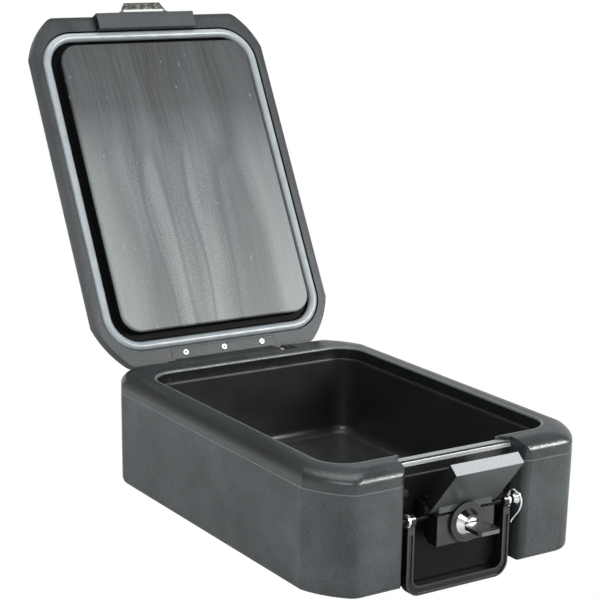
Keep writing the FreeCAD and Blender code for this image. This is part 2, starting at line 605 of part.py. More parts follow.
# Hinge pin between the lugs
pin_rod = rod("HingePinRod", "x", "pin_r", "2 * lug_out - 4", "2 - lug_out", "hinge_y", "hinge_z")
collar_r = rod("HingeCollarR", "x", "collar_r", "collar_wide", "barrel_half + 0.5", "hinge_y", "hinge_z")
collar_l = rod("HingeCollarL", "x", "collar_r", "collar_wide", "0 - barrel_half - 0.5 - collar_wide",
               "hinge_y",
               "hinge_z")
node("hinge_pin", fuse("HingePin", [pin_rod, collar_r, collar_l]))

# Lid, drawn shut and then turned open about the hinge pin
opened = FreeCAD.Placement(FreeCAD.Vector(), FreeCAD.Rotation(EX, -size("lid_open")),
                           FreeCAD.Vector(0, hinge_y, hinge_z))
lid_low = rim_z + size("lid_gap")
lid_x = half_x - size("lid_inset_x")
lid_y = half_y - size("lid_inset")
lid_top = lid_low + size("lid_high")
lid_round = size("lid_round")
turn_z = lid_top - lid_round
lid = prism(lid_x, lid_y, lid_low, turn_z, lid_rear)
lid = lid.fuse(crown(lid_x, lid_y, turn_z, lid_round, lid_round, lid_rear)).removeSplitter()
hollow_x = size("lid_hollow_x")
hollow_y = size("lid_hollow_y")
hollow_r = size("lid_hollow_round")
seal_mid = lid_low + size("seal_r") - size("seal_proud")
groove_half = size("seal_r") + size("seal_room")
groove = slab(size("seal_x") + groove_half, size("seal_y") + groove_half, size("seal_corner") + groove_half,
              lid_low - 1.0, seal_mid + groove_half)
tongue_half = size("tongue_half")
front = -lid_y - size("tongue_proud")
tongue = block(-tongue_half, tongue_half, front, front + size("tongue_deep"), lid_low - size("tongue_drop"),
               lid_low + size("tongue_high"))
tongue = tongue.cut(slab(size("seal_x") + groove_half, size("seal_y") + groove_half,
                         size("seal_corner") + groove_half, lid_low - 2.0 * size("tongue_drop"), lid_low))
lid = lid.fuse(tongue).cut(groove)
lid = lid.cut(slab(hollow_x, hollow_y, hollow_r, lid_low - 1.0, lid_top - size("lid_wall")))
leaf_half = size("leaf_half")
leaf_y = lid_y - size("leaf_deep")
leaf_cut = block(-leaf_half - slack, leaf_half + slack, leaf_y - slack, far, lid_low - 1.0,
                 lid_low + size("leaf_thick") + slack)
lid = lid.cut(leaf_cut).removeSplitter()
lid_obj = made("LidShell", lid)
lid_obj.Placement = opened
node("lid_shell", lid_obj)

# Backing of the lid: the insulation in its hollow, and the inner panel that closes it
seat = size("panel_seat")
pad = slab(hollow_x - slack, hollow_y - slack, hollow_r - slack, lid_low + seat + size("tray_thick"),
           lid_top - size("lid_wall") - slack)
pad_obj = made("LidInsulation", pad)
pad_obj.Placement = opened
node("lid_insulation", pad_obj)
panel = slab(size("panel_x"), size("panel_y"), size("panel_round"), lid_low - size("panel_drop"),
             lid_low + seat)
panel = panel.makeFillet(size("panel_edge"), level_edges(panel, lid_low - size("panel_drop"), 0.0, 0.0))
tray = slab(hollow_x - slack, hollow_y - slack, hollow_r - slack, lid_low + seat,
            lid_low + seat + size("tray_thick"))
panel_obj = made("LidPanel", panel.fuse(tray).removeSplitter())
panel_obj.Placement = opened
node("lid_panel", panel_obj)

# Seal tube in its groove
spine = round_wire(size("seal_x"), size("seal_y"), size("seal_corner"), seal_mid)
ring = Part.Wire([Part.makeCircle(size("seal_r"), spine.Edges[0].Vertexes[0].Point,
                                  spine.Edges[0].tangentAt(spine.Edges[0].FirstParameter))])
tube = spine.makePipeShell([ring], True, True, 2)
tube_obj = made("SealTube", tube)
tube_obj.Placement = opened
node("seal_tube", tube_obj)

# Hinge leaf: the cover plate, the arm and the barrel round the pin, with three screws
leaf = block(-leaf_half, leaf_half, leaf_y, lid_y, lid_low, lid_low + size("leaf_thick"))
arm_half = size("barrel_half")
barrel_r = size("barrel_r")
tilt = math.atan2(hinge_y - (lid_y - 5.0), lid_low - hinge_z)
arm_points = [
    FreeCAD.Vector(-arm_half, lid_y - 3.5, lid_low + 1.0),
    FreeCAD.Vector(-arm_half, lid_y, lid_low + 1.0),
    FreeCAD.Vector(-arm_half, hinge_y + barrel_r * math.cos(tilt), hinge_z + barrel_r * math.sin(tilt)),
    FreeCAD.Vector(-arm_half, hinge_y - barrel_r * math.cos(tilt), hinge_z - barrel_r * math.sin(tilt)),
]
arm = Part.Face(Part.makePolygon(arm_points + arm_points[:1])).extrude(FreeCAD.Vector(2 * arm_half, 0, 0))
barrel = Part.makeCylinder(barrel_r, 2 * arm_half, FreeCAD.Vector(-arm_half, hinge_y, hinge_z), EX)
leaf = leaf.fuse(arm).fuse(barrel)
leaf = leaf.cut(Part.makeCylinder(size("pin_r") + size("run_fit"), 2 * arm_half + 2,
                                  FreeCAD.Vector(-arm_half - 1, hinge_y, hinge_z), EX))
leaf_obj = made("HingeLeaf", leaf.removeSplitter())
leaf_obj.Placement = opened
node("hinge_leaf", leaf_obj)
screws = []
for number in (-1, 0, 1):
    spot = FreeCAD.Vector(number * size("leaf_screw_x"), leaf_y + size("leaf_screw_in"), lid_low - 1.2)
    head = Part.makeCone(size("leaf_screw_r") * 0.75, size("leaf_screw_r"), 1.2, spot)
    screws.append(head)
screw_obj = made("LeafScrews", Part.Compound(screws))
screw_obj.Placement = opened
node("leaf_screws", screw_obj)

# Striker on the front of the lid, and its two rivets
strike_half = size("strike_half")
strike_z = size("strike_z")
thick = size("strike_thick")
back = block(-strike_half, strike_half, front - thick, front, strike_z, strike_z + size("strike_tall"))
taper = size("strike_taper")
tip = front - size("strike_out")
lip_points = [
    FreeCAD.Vector(-strike_half, front, strike_z),
    FreeCAD.Vector(strike_half, front, strike_z),
    FreeCAD.Vector(strike_half - taper, tip, strike_z),
    FreeCAD.Vector(taper - strike_half, tip, strike_z),
]
ledge = Part.Face(Part.makePolygon(lip_points + lip_points[:1])).extrude(FreeCAD.Vector(0, 0, thick))
strike_obj = made("Striker", back.fuse(ledge).removeSplitter())
strike_obj.Placement = opened
node("striker", strike_obj)
rivets = []
for number in (-1, 1):
    spot = FreeCAD.Vector(number * size("rivet_x"), front - thick - 1.2, strike_z + size("rivet_up"))
    rivets.append(Part.makeCone(size("rivet_r") * 0.7, size("rivet_r"), 1.2, spot, EY))
rivet_obj = made("StrikerRivets", Part.Compound(rivets))
rivet_obj.Placement = opened
node("striker_rivets", rivet_obj)

doc.recompute()
bad = []
for obj in doc.Objects:
    if "Invalid" in obj.State or "Error" in obj.State:
        bad.append(obj.Name)
for name, obj in nodes.items():
    if obj.Shape.isNull() or not obj.Shape.isValid() or not obj.Shape.Solids:
        bad.append(name)
if bad:
    raise RuntimeError("failed: " + ", ".join(bad))
os.makedirs("parts", exist_ok=True)
for name, obj in nodes.items():
    obj.Shape.exportStep("parts/%s.step" % name)
    print(name, len(obj.Shape.Solids), round(obj.Shape.Volume, 1))
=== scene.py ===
import bpy
import math
from mathutils import Matrix, Vector

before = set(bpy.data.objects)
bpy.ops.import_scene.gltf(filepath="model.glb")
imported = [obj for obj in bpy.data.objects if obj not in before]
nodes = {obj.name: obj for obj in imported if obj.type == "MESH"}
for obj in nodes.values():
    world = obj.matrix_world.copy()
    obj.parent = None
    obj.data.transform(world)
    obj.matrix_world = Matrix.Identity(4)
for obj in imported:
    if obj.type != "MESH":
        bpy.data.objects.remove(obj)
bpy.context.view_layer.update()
scene = bpy.context.scene

# Where the lid hinges, and how far it stands open in the stored pose
HINGE = Vector((0.0, 0.187, 0.1095))
OPEN = math.radians(118.5)

# Sockets of the node that mixes colours: its two colours and its result
MIX_A, MIX_B, MIX_OUT = 6, 7, 2
# Range in which most values of a noise lie
NOISE_LOW, NOISE_HIGH = 0.3, 0.7


# Helpers for nodes
def tree(name):
    """A new material, its node tree and its shader."""
    mat = bpy.data.materials.new(name)
    mat.use_nodes = True
    nt = mat.node_tree
    return mat, nt, nt.nodes["Principled BSDF"]


def put(nt, kind, **values):
    """Add a node and set its properties."""
    n = nt.nodes.new(kind)
    for key, value in values.items():
        setattr(n, key, value)
    return n


def feed(nt, value, socket):
    """Set a socket to a number, or link it to what another node gives."""
    if isinstance(value, (int, float)):
        socket.default_value = value
    else:
        nt.links.new(value, socket)


def calc(nt, op, *values):
    n = put(nt, "ShaderNodeMath", operation=op)
    for socket, value in zip(n.inputs, values):
        feed(nt, value, socket)
    return n.outputs[0]


def add(nt, a, b):
    return calc(nt, "ADD", a, b)


def take(nt, a, b):
    return calc(nt, "SUBTRACT", a, b)


def times(nt, *values):
    out = values[0]
    for value in values[1:]:
        out = calc(nt, "MULTIPLY", out, value)
    return out


def larger(nt, a, b):
    return calc(nt, "MAXIMUM", a, b)


def off_zero(nt, value):
    return calc(nt, "ABSOLUTE", value)


def length(nt, a, b):
    return calc(nt, "SQRT", add(nt, times(nt, a, a), times(nt, b, b)))


def under(nt, value, limit):
    return calc(nt, "LESS_THAN", value, limit)


def over(nt, value, limit):
    return calc(nt, "GREATER_THAN", value, limit)


def band(nt, value, low, high):
    return times(nt, over(nt, value, low), under(nt, value, high))


def outside(nt, mask):
    """One where the mask is nought, and nought where it is one."""
    return take(nt, 1.0, mask)


def step(nt, value, low, high):
    """Smooth step from nought at low to one at high."""
    n = put(nt, "ShaderNodeMapRange", interpolation_type="SMOOTHSTEP")
    feed(nt, value, n.inputs["Value"])
    n.inputs["From Min"].default_value = low
    n.inputs["From Max"].default_value = high
    return n.outputs[0]


def near(nt, vec, spots, radius):
    """One inside a small ball about any of the given points, and nought elsewhere."""
    total = 0.0
    for spot in spots:
        d = put(nt, "ShaderNodeVectorMath", operation="DISTANCE")
        feed(nt, vec, d.inputs[0])
        d.inputs[1].default_value = spot
        total = larger(nt, total, under(nt, d.outputs["Value"], radius))
    return total


def coords(nt, lid=False):
    """Object coordinates; for the lid, turned back so that it lies shut."""
    tc = put(nt, "ShaderNodeTexCoord")
    if not lid:
        return tc.outputs["Object"]
    move = put(nt, "ShaderNodeVectorMath", operation="SUBTRACT")
    feed(nt, tc.outputs["Object"], move.inputs[0])
    move.inputs[1].default_value = HINGE
    turn = put(nt, "ShaderNodeVectorRotate", rotation_type="X_AXIS")
    feed(nt, move.outputs[0], turn.inputs["Vector"])
    turn.inputs["Angle"].default_value = OPEN
    back = put(nt, "ShaderNodeVectorMath", operation="ADD")
    feed(nt, turn.outputs[0], back.inputs[0])
    back.inputs[1].default_value = HINGE
    return back.outputs[0]


def split(nt, vec):
    n = put(nt, "ShaderNodeSeparateXYZ")
    feed(nt, vec, n.inputs[0])
    return n.outputs


def noise(nt, vec, scale=1.0, detail=3.0, rough=0.55, stretch=None):
    if stretch:
        m = put(nt, "ShaderNodeMapping")
        feed(nt, vec, m.inputs["Vector"])
        m.inputs["Scale"].default_value = stretch
        vec = m.outputs[0]
    n = put(nt, "ShaderNodeTexNoise")
    feed(nt, vec, n.inputs["Vector"])
    n.inputs["Scale"].default_value = scale
    n.inputs["Detail"].default_value = detail
    n.inputs["Roughness"].default_value = rough
    return n.outputs["Fac"]


def sway(nt, vec, amount):
    """Coordinates that waver sideways a little, so that streaks aren't quite straight."""
    shift = put(nt, "ShaderNodeCombineXYZ")
    feed(nt, noise(nt, vec, scale=5.0, detail=1.0), shift.inputs[0])
    bend = put(nt, "ShaderNodeVectorMath", operation="MULTIPLY_ADD")
    feed(nt, shift.outputs[0], bend.inputs[0])
    bend.inputs[1].default_value = (amount, 0.0, 0.0)
    feed(nt, vec, bend.inputs[2])
    return bend.outputs[0]


def ramp(nt, fac, stops):
    n = put(nt, "ShaderNodeValToRGB")
    feed(nt, fac, n.inputs["Fac"])
    els = n.color_ramp.elements
    while len(els) < len(stops):
        els.new(0.5)
    for el, (pos, col) in zip(els, stops):
        el.position = pos
        el.color = col + (1.0,)
    return n.outputs["Color"]


def speckle(nt, value, dark, light):
    """Two tones spread over the usual range of a noise."""
    return ramp(nt, value, [(NOISE_LOW, dark), (NOISE_HIGH, light)])


def mix(nt, fac, a, b, blend="MIX"):
    n = put(nt, "ShaderNodeMix", data_type="RGBA", blend_type=blend)
    feed(nt, fac, n.inputs["Factor"])
    for socket, colour in ((n.inputs[MIX_A], a), (n.inputs[MIX_B], b)):
        if isinstance(colour, tuple):
            socket.default_value = colour + (1.0,)
        else:
            feed(nt, colour, socket)
    return n.outputs[MIX_OUT]


def tint(nt, col, mask, colour, amount=1.0):
    """Lay a colour over another where the mask is one."""
    if amount < 1.0:
        mask = times(nt, mask, amount)
    return mix(nt, mask, col, colour)


# Helpers for shaders
def paint(nt, bsdf, col):
    feed(nt, col, bsdf.inputs["Base Color"])


def dull(nt, bsdf, mask, gloss, drop):
    """Set the gloss, and take some of it off where the mask is one."""
    feed(nt, take(nt, gloss, times(nt, mask, drop)), bsdf.inputs["Specular IOR Level"])


def roughen(nt, bsdf, value, spread, base):
    """Roughness that rises from its base with a noise."""
    feed(nt, add(nt, times(nt, value, spread), base), bsdf.inputs["Roughness"])


def bump(nt, bsdf, height, strength, distance):
    b = put(nt, "ShaderNodeBump")
    b.inputs["Strength"].default_value = strength
    b.inputs["Distance"].default_value = distance
    feed(nt, height, b.inputs["Height"])
    feed(nt, b.outputs["Normal"], bsdf.inputs["Normal"])


# Scale of the grain of the grey mouldings, and of the smoother black ones
COARSE, FINE = 640.0, 700.0
# How much of a plastic's tone comes from broad mottling and how much from its grain
MOTTLE_SHARE, GRAIN_SHARE = 0.6, 0.4
# How far a plastic's roughness starts below its stated value, and over how much it spreads
ROUGH_BELOW, ROUGH_SPREAD = 0.06, 0.14


def plastic(name, dark, light, rough, grain, grain_scale, lid=False, gloss=0.5):
    """Moulded plastic: mottled tone, fine grain, and rough patches that catch the light unevenly."""
    mat, nt, bsdf = tree(name)
    vec = coords(nt, lid)
    tone = noise(nt, vec, scale=26.0, detail=4.0)
    fine = noise(nt, vec, scale=grain_scale, detail=2.0, rough=0.6)
    both = add(nt, times(nt, tone, MOTTLE_SHARE), times(nt, fine, GRAIN_SHARE))
    col = speckle(nt, both, dark, light)
    paint(nt, bsdf, col)
    bsdf.inputs["Specular IOR Level"].default_value = gloss
    roughen(nt, bsdf, tone, spread=ROUGH_SPREAD, base=rough - ROUGH_BELOW)
    bump(nt, bsdf, fine, strength=grain, distance=0.0006)
    return mat, nt, bsdf, vec, col


# Places below are in metres, and those on the lid are measured with the lid shut
# Seam between the two mouldings of the body, along which a pale line is painted as its highlight
SEAM_LOW, SEAM_HIGH = 0.1011, 0.1021


def body_plastic():
    """Grained body moulding, with a painted highlight: a pale hairline along the seam where the two halves
    meet.
    """
    mat, nt, bsdf, vec, col = plastic(
        "body_plastic", dark=(0.009, 0.0125, 0.0135), light=(0.070, 0.0840, 0.087),
        rough=0.42, grain=0.90, grain_scale=COARSE)
    z = split(nt, vec)[2]
    # Painted highlight: a pale line along the seam
    line = band(nt, z, SEAM_LOW, SEAM_HIGH)
    col = tint(nt, col, line, (0.150, 0.161, 0.163), amount=0.8)
    paint(nt, bsdf, col)
    return mat


# Mouth of the body: half its width and depth, and the radius of its corners
OPEN_X, OPEN_Y, OPEN_ROUND = 0.113, 0.152, 0.026
# Depths between which the painted shade and painted light on the rim's side shoulders give way to the
# plain tone of its front
FRONT_Y, SIDE_Y = -0.178, -0.090
# Heights of the shoulder and of the lip, the width of the painted highlight along the lip, and how far the
# painted shade on the wall reaches
SHOULDER_LOW, SHOULDER_HIGH = 0.1055, 0.1095
LIP_LOW, LIP_WIDE, WALL_REACH = 0.1160, 0.0024, 0.0002
# Front notch: half its width, the rear of its floor, the face below it, and the heights of its bands of
# painted light and painted shadow
NOTCH_HALF, NOTCH_REAR, NOTCH_FACE = 0.0598, -0.1521, -0.1550
STRIP_LOW, SHADOW_LOW, SHADOW_HIGH, STRIP_HIGH = 0.1093, 0.1128, 0.1140, 0.1146


def rim_plastic():
    """Upper moulding, smooth: painted shade darkens its left shoulder and a painted lighter tone lies on
    its right one, so the front is paler; painted highlights lie at its lip and in the notch, with painted
    shade on its inner wall and in the notch.
    """
    mat, nt, bsdf, vec, col = plastic(
        "rim_plastic", dark=(0.014, 0.018, 0.019), light=(0.048, 0.058, 0.060),
        rough=0.27, grain=0.35, grain_scale=COARSE)
    x, y, z = split(nt, vec)
    ax = off_zero(nt, x)
    ay = off_zero(nt, y)
    # Painted shade on the left shoulder and a painted lighter tone on the right one, for how the light
    # falls on each side
    shoulder = times(nt, step(nt, z, SHOULDER_LOW, SHOULDER_HIGH), step(nt, y, FRONT_Y, SIDE_Y))
    left = times(nt, shoulder, under(nt, x, 0.0))
    right = times(nt, shoulder, over(nt, x, 0.0))
    col = tint(nt, col, left, (0.011, 0.013, 0.0135))
    col = tint(nt, col, right, (0.030, 0.031, 0.029))
    # Painted highlight along the inner lip
    past_x = larger(nt, take(nt, ax, OPEN_X - OPEN_ROUND), 0.0)
    past_y = larger(nt, take(nt, ay, OPEN_Y - OPEN_ROUND), 0.0)
    reach = length(nt, past_x, past_y)
    lip = times(nt, under(nt, reach, OPEN_ROUND + LIP_WIDE), over(nt, z, LIP_LOW))
    col = tint(nt, col, lip, (0.150, 0.162, 0.162), amount=0.9)
    # Painted shade on the wall inside the mouth, below the lip
    wall = times(nt, under(nt, ax, OPEN_X + WALL_REACH), under(nt, ay, OPEN_Y + WALL_REACH))
    wall = times(nt, wall, under(nt, z, LIP_LOW))
    col = tint(nt, col, wall, (0.008, 0.009, 0.009))
    # In the notch: painted light on the floor strip, a painted highlight on the ridge, a painted shadow
    # line under the edge, and painted shade on the face below
    notch = under(nt, ax, NOTCH_HALF)
    strip = times(nt, notch, under(nt, y, NOTCH_REAR), band(nt, z, STRIP_LOW, STRIP_HIGH))
    col = tint(nt, col, strip, (0.320, 0.338, 0.334))
    ridge = times(nt, strip, under(nt, z, SHADOW_LOW))
    col = tint(nt, col, ridge, (0.480, 0.500, 0.495))
    shadow_line = times(nt, strip, band(nt, z, SHADOW_LOW, SHADOW_HIGH))
    col = tint(nt, col, shadow_line, (0.030, 0.032, 0.032))
    dull(nt, bsdf, shadow_line, gloss=0.5, drop=0.45)
    below = times(nt, notch, under(nt, y, NOTCH_FACE), under(nt, z, STRIP_LOW))
    col = tint(nt, col, below, (0.012, 0.013, 0.013))
    paint(nt, bsdf, col)
    return mat


# Bevelled border of the lid, darkened with painted shade: where it starts, how fast, and its upper end
BORDER_X, BORDER_Y, BORDER_FADE, BORDER_TOP = 0.1262, 0.1752, 0.0010, 0.1206
# Channel round the panel, made black with painted shade: its half width and half depth, the cut of its
# corners, and its heights
CHANNEL_X, CHANNEL_Y, CHANNEL_CORNER = 0.1222, 0.1646, 0.2600
CHANNEL_LOW, CHANNEL_HIGH = 0.1201, 0.138
# Tongue at the front of the lid: half its width, its face, painted lighter to lift the shade on it, and
# the painted shadow line at its sides
TONGUE_HALF, TONGUE_FACE, TONGUE_TOP = 0.0548, -0.1640, 0.1202
LINE_HALF, LINE_REAR = 0.0552, -0.1585


def lid_plastic():
    """Lid: grained flange with painted shade darkening its bevelled border and making the channel round
    the panel black, painted light on the tongue's face, and a painted shadow line at the tongue's sides.
    """
    mat, nt, bsdf, vec, col = plastic(
        "lid_plastic", dark=(0.013, 0.0165, 0.0175), light=(0.054, 0.0645, 0.0672),
        rough=0.42, grain=0.60, grain_scale=COARSE, lid=True)
    x, y, z = split(nt, vec)
    ax = off_zero(nt, x)
    ay = off_zero(nt, y)
    # Painted shade on the bevelled border
    border_x = step(nt, ax, BORDER_X, BORDER_X + BORDER_FADE)
    border_y = step(nt, ay, BORDER_Y, BORDER_Y + BORDER_FADE)
    border = times(nt, larger(nt, border_x, border_y), under(nt, z, BORDER_TOP))
    col = tint(nt, col, border, (0.020, 0.023, 0.024), amount=0.75)
    # Painted shade that makes the channel round the panel black
    inner = times(nt, under(nt, ax, CHANNEL_X), under(nt, ay, CHANNEL_Y))
    inner = times(nt, inner, under(nt, add(nt, ax, ay), CHANNEL_CORNER))
    deep = times(nt, inner, band(nt, z, CHANNEL_LOW, CHANNEL_HIGH))
    col = tint(nt, col, deep, (0.004, 0.004, 0.004))
    dull(nt, bsdf, deep, gloss=0.34, drop=0.30)
    # Painted light on the tongue's face, and a painted shadow line at its sides
    face = times(nt, under(nt, ax, TONGUE_HALF), under(nt, y, TONGUE_FACE), under(nt, z, TONGUE_TOP))
    col = tint(nt, col, face, (0.074, 0.084, 0.087), amount=0.6)
    line = times(nt, band(nt, ax, TONGUE_HALF, LINE_HALF), under(nt, y, LINE_REAR))
    col = tint(nt, col, line, (0.006, 0.006, 0.006))
    paint(nt, bsdf, col)
    return mat


# Height below which the tub counts as its floor, and the strength of the scuffs there
TUB_FLOOR, SCUFF = 0.0360, 1.3


def liner_plastic():
    """Black tub, scuffed paler on its floor."""
    mat, nt, bsdf, vec, col = plastic(
        "liner_black", dark=(0.008, 0.009, 0.009), light=(0.015, 0.0165, 0.0165),
        rough=0.30, grain=0.10, grain_scale=FINE)
    z = split(nt, vec)[2]
    scuff = times(nt, noise(nt, vec, scale=60.0), SCUFF, under(nt, z, TUB_FLOOR))
    col = tint(nt, col, scuff, (0.034, 0.036, 0.036))
    paint(nt, bsdf, col)
    return mat


# Panel: its front end, its length, and the height where its edge begins
PANEL_FRONT, PANEL_LONG, PANEL_EDGE = -0.1470, 0.2940, 0.1145
# Where the painted sheen on the panel's sides begins and is full, how strongly it lies on the left one,
# and how much less it lies on the right one, with the stretch from left to right over which this changes
PALE_FROM, PALE_TO, PALE, PALE_DROP = 0.050, 0.106, 0.68, 0.56
RIGHT_FROM, RIGHT_TO = -0.02, 0.05
# How much of the streaks comes from narrow noise, from broad noise and from the grain, and how much
# weaker they are under the painted sheen at the sides
NARROW_SHARE, BROAD_SHARE, DUST_SHARE, STREAK_DROP = 0.22, 0.50, 0.28, 0.65
# Level of the noise along which the painted shade of creases runs, and how far from it that shade starts
# to fade and ends
CREASE_LEVEL, CREASE_CORE, CREASE_END = 0.52, 0.004, 0.022
# Levels of noise above which scratches lie, and above which patches have them
SCRATCH_LEVEL, PATCH_LEVEL = 0.72, 0.62


def panel_plastic():
    """Inner lid panel: streaks of flow from front to rear, painted sheen that makes the sides paler,
    painted shade along creases and at the edge, with fine scratches.
    """
    mat, nt, bsdf = tree("panel_plastic")
    vec = coords(nt, lid=True)
    x, y, z = split(nt, vec)
    flow = sway(nt, vec, amount=0.03)
    streak = noise(nt, flow, detail=3.0, rough=0.5, stretch=(34.0, 2.2, 14.0))
    broad = noise(nt, flow, detail=2.0, rough=0.5, stretch=(17.0, 3.4, 8.0))
    hairs = noise(nt, flow, detail=2.0, rough=0.6, stretch=(420.0, 14.0, 30.0))
    fold = noise(nt, flow, detail=1.0, rough=0.5, stretch=(13.0, 2.4, 8.0))
    tick = noise(nt, vec, detail=1.0, rough=0.5, stretch=(330.0, 90.0, 60.0))
    fine = noise(nt, vec, scale=620.0, detail=2.0, rough=0.6)
    # Tone from the front end to the rear, and painted sheen that makes the sides paler
    along = times(nt, take(nt, y, PANEL_FRONT), 1.0 / PANEL_LONG)
    col = ramp(nt, along, [
        (0.0, (0.024, 0.028, 0.030)), (0.22, (0.034, 0.039, 0.042)), (0.45, (0.115, 0.129, 0.133)),
        (0.75, (0.152, 0.168, 0.169)), (1.0, (0.185, 0.203, 0.200))])
    # Painted sheen: the sides are paler, the left one more than the right
    side = step(nt, off_zero(nt, x), PALE_FROM, PALE_TO)
    amount = take(nt, PALE, times(nt, step(nt, x, RIGHT_FROM, RIGHT_TO), PALE_DROP))
    pale = times(nt, side, step(nt, along, 0.15, 0.75), amount)
    col = tint(nt, col, pale, (0.300, 0.325, 0.321))
    # Streaks, weaker under the painted sheen toward the sides
    cloud = add(nt, times(nt, streak, NARROW_SHARE), times(nt, broad, BROAD_SHARE))
    cloud = add(nt, cloud, times(nt, fine, DUST_SHARE))
    shade = ramp(nt, cloud, [
        (0.43, (0.48, 0.49, 0.50)), (0.50, (0.94, 0.94, 0.94)), (0.57, (1.48, 1.46, 1.44))])
    col = mix(nt, outside(nt, times(nt, side, STREAK_DROP)), col, shade, blend="MULTIPLY")
    # Hair lines, painted shade along creases, and short scratches
    lines = ramp(nt, hairs, [(0.35, (0.0, 0.0, 0.0)), (0.72, (0.07, 0.07, 0.07))])
    col = tint(nt, col, lines, (0.42, 0.44, 0.44))
    # Painted shade along creases
    off_level = off_zero(nt, take(nt, fold, CREASE_LEVEL))
    crease = outside(nt, step(nt, off_level, CREASE_CORE, CREASE_END))
    crease = times(nt, crease, step(nt, along, 0.25, 0.45), outside(nt, side))
    col = tint(nt, col, crease, (0.045, 0.052, 0.055), amount=0.45)
    patch = over(nt, noise(nt, vec, scale=26.0, detail=2.0), PATCH_LEVEL)
    scratch = times(nt, over(nt, tick, SCRATCH_LEVEL), patch)
    col = tint(nt, col, scratch, (0.45, 0.47, 0.46), amount=0.35)
    # Painted shade that makes the panel's edge toward the channel black
    edge = over(nt, z, PANEL_EDGE)
    col = tint(nt, col, edge, (0.006, 0.006, 0.006))
    paint(nt, bsdf, col)
    dull(nt, bsdf, edge, gloss=0.5, drop=0.45)
    roughen(nt, bsdf, streak, spread=0.24, base=0.38)
    bump(nt, bsdf, add(nt, times(nt, fine, 0.25), streak), strength=0.16, distance=0.0008)
    return mat


def rubber(name, dark, light, rough, lid=False):
    mat, nt, bsdf = tree(name)
    vec = coords(nt, lid)
    n = noise(nt, vec, scale=60.0, detail=2.0)
    paint(nt, bsdf, speckle(nt, n, dark, light))
    roughen(nt, bsdf, n, spread=0.16, base=rough)
    bump(nt, bsdf, noise(nt, vec, scale=900.0, detail=2.0), strength=0.10, distance=0.0004)
    return mat


def metal(name, dark, light, rough, lid=False, holes=(), hole_r=0.0012):
    """Bright metal with faint mottling; holes lists the middles of screw heads, which are drawn dark as
    painted shade in their recesses.
    """
    mat, nt, bsdf = tree(name)
    vec = coords(nt, lid)
    n = noise(nt, vec, scale=160.0)
    col = speckle(nt, n, dark, light)
    # Painted shade in the recesses of the screw heads
    if holes:
        col = tint(nt, col, near(nt, vec, holes, hole_r), (0.02, 0.02, 0.02))
    paint(nt, bsdf, col)
    bsdf.inputs["Metallic"].default_value = 1.0
    roughen(nt, bsdf, n, spread=0.12, base=rough)
    bump(nt, bsdf, noise(nt, vec, scale=1800.0, detail=1.0), strength=0.05, distance=0.0002)
    return mat, nt, bsdf, vec, col


# Height of the lock's axis, the direction in which the painted reflection on its bright ring darkens it,
# and where that starts and ends
LOCK_Z = 0.0614
LOCK_SLANT = (0.62, 0.0, 0.78)
BRIGHT_END, DARK_END = -0.0045, 0.0040


def lock_metal():
    """Bright ring of the lock, with a painted reflection that darkens it toward its upper right."""
    mat, nt, bsdf, vec, col = metal(
        "lock_chrome", dark=(0.70, 0.71, 0.69), light=(0.84, 0.84, 0.81), rough=0.08)
    # Painted reflection: the ring turns dark toward its upper right
    slant = put(nt, "ShaderNodeVectorMath", operation="DOT_PRODUCT")
    feed(nt, vec, slant.inputs[0])
    slant.inputs[1].default_value = LOCK_SLANT
    from_axis = take(nt, slant.outputs["Value"], LOCK_Z * LOCK_SLANT[2])
    col = tint(nt, col, step(nt, from_axis, BRIGHT_END, DARK_END), (0.060, 0.062, 0.064))
    paint(nt, bsdf, col)
    return mat


# Lever: its pivot, its lean, its length, half its width, and how thick the painted highlight on its end is
LEVER_Y, LEVER_Z, LEVER_LEAN = -0.171, 0.076, math.radians(39.0)
LEVER_LONG, LEVER_SIDE, LEVER_END = 0.0525, 0.0339, 0.00045


def lever_paint():
    """Dark satin lever, with a painted highlight that makes its end face bright and painted shade that
    makes its sides black.
    """
    mat, nt, bsdf, vec, col = plastic(
        "lever_satin", dark=(0.034, 0.038, 0.039), light=(0.072, 0.078, 0.079),
        rough=0.34, grain=0.15, grain_scale=800.0)
    x, y, z = split(nt, vec)
    # Painted shade that makes the sides black
    flank = over(nt, off_zero(nt, x), LEVER_SIDE)
    col = tint(nt, col, flank, (0.006, 0.006, 0.006))
    # Painted highlight that makes the end face bright
    dy = times(nt, take(nt, y, LEVER_Y), -math.sin(LEVER_LEAN))
    dz = times(nt, take(nt, z, LEVER_Z), math.cos(LEVER_LEAN))
    end = over(nt, add(nt, dy, dz), LEVER_LONG - LEVER_END)
    end_highlight = speckle(nt, noise(nt, vec, scale=900.0, detail=2.0), (0.37, 0.39, 0.395), (0.49, 0.515, 0.52))
    col = tint(nt, col, end, end_highlight)
    paint(nt, bsdf, col)
    return mat


# Lock block, with painted shade in the groove round its boss, on the ring behind the boss, on its sides
# and on its ears
GROOVE_IN, GROOVE_OUT, GROOVE_Y = 0.0138, 0.0147, -0.181
RING_IN, RING_OUT, RING_Y = 0.0160, 0.0190, -0.1812
BLOCK_SIDE, BLOCK_EAR = 0.0289, 0.0292


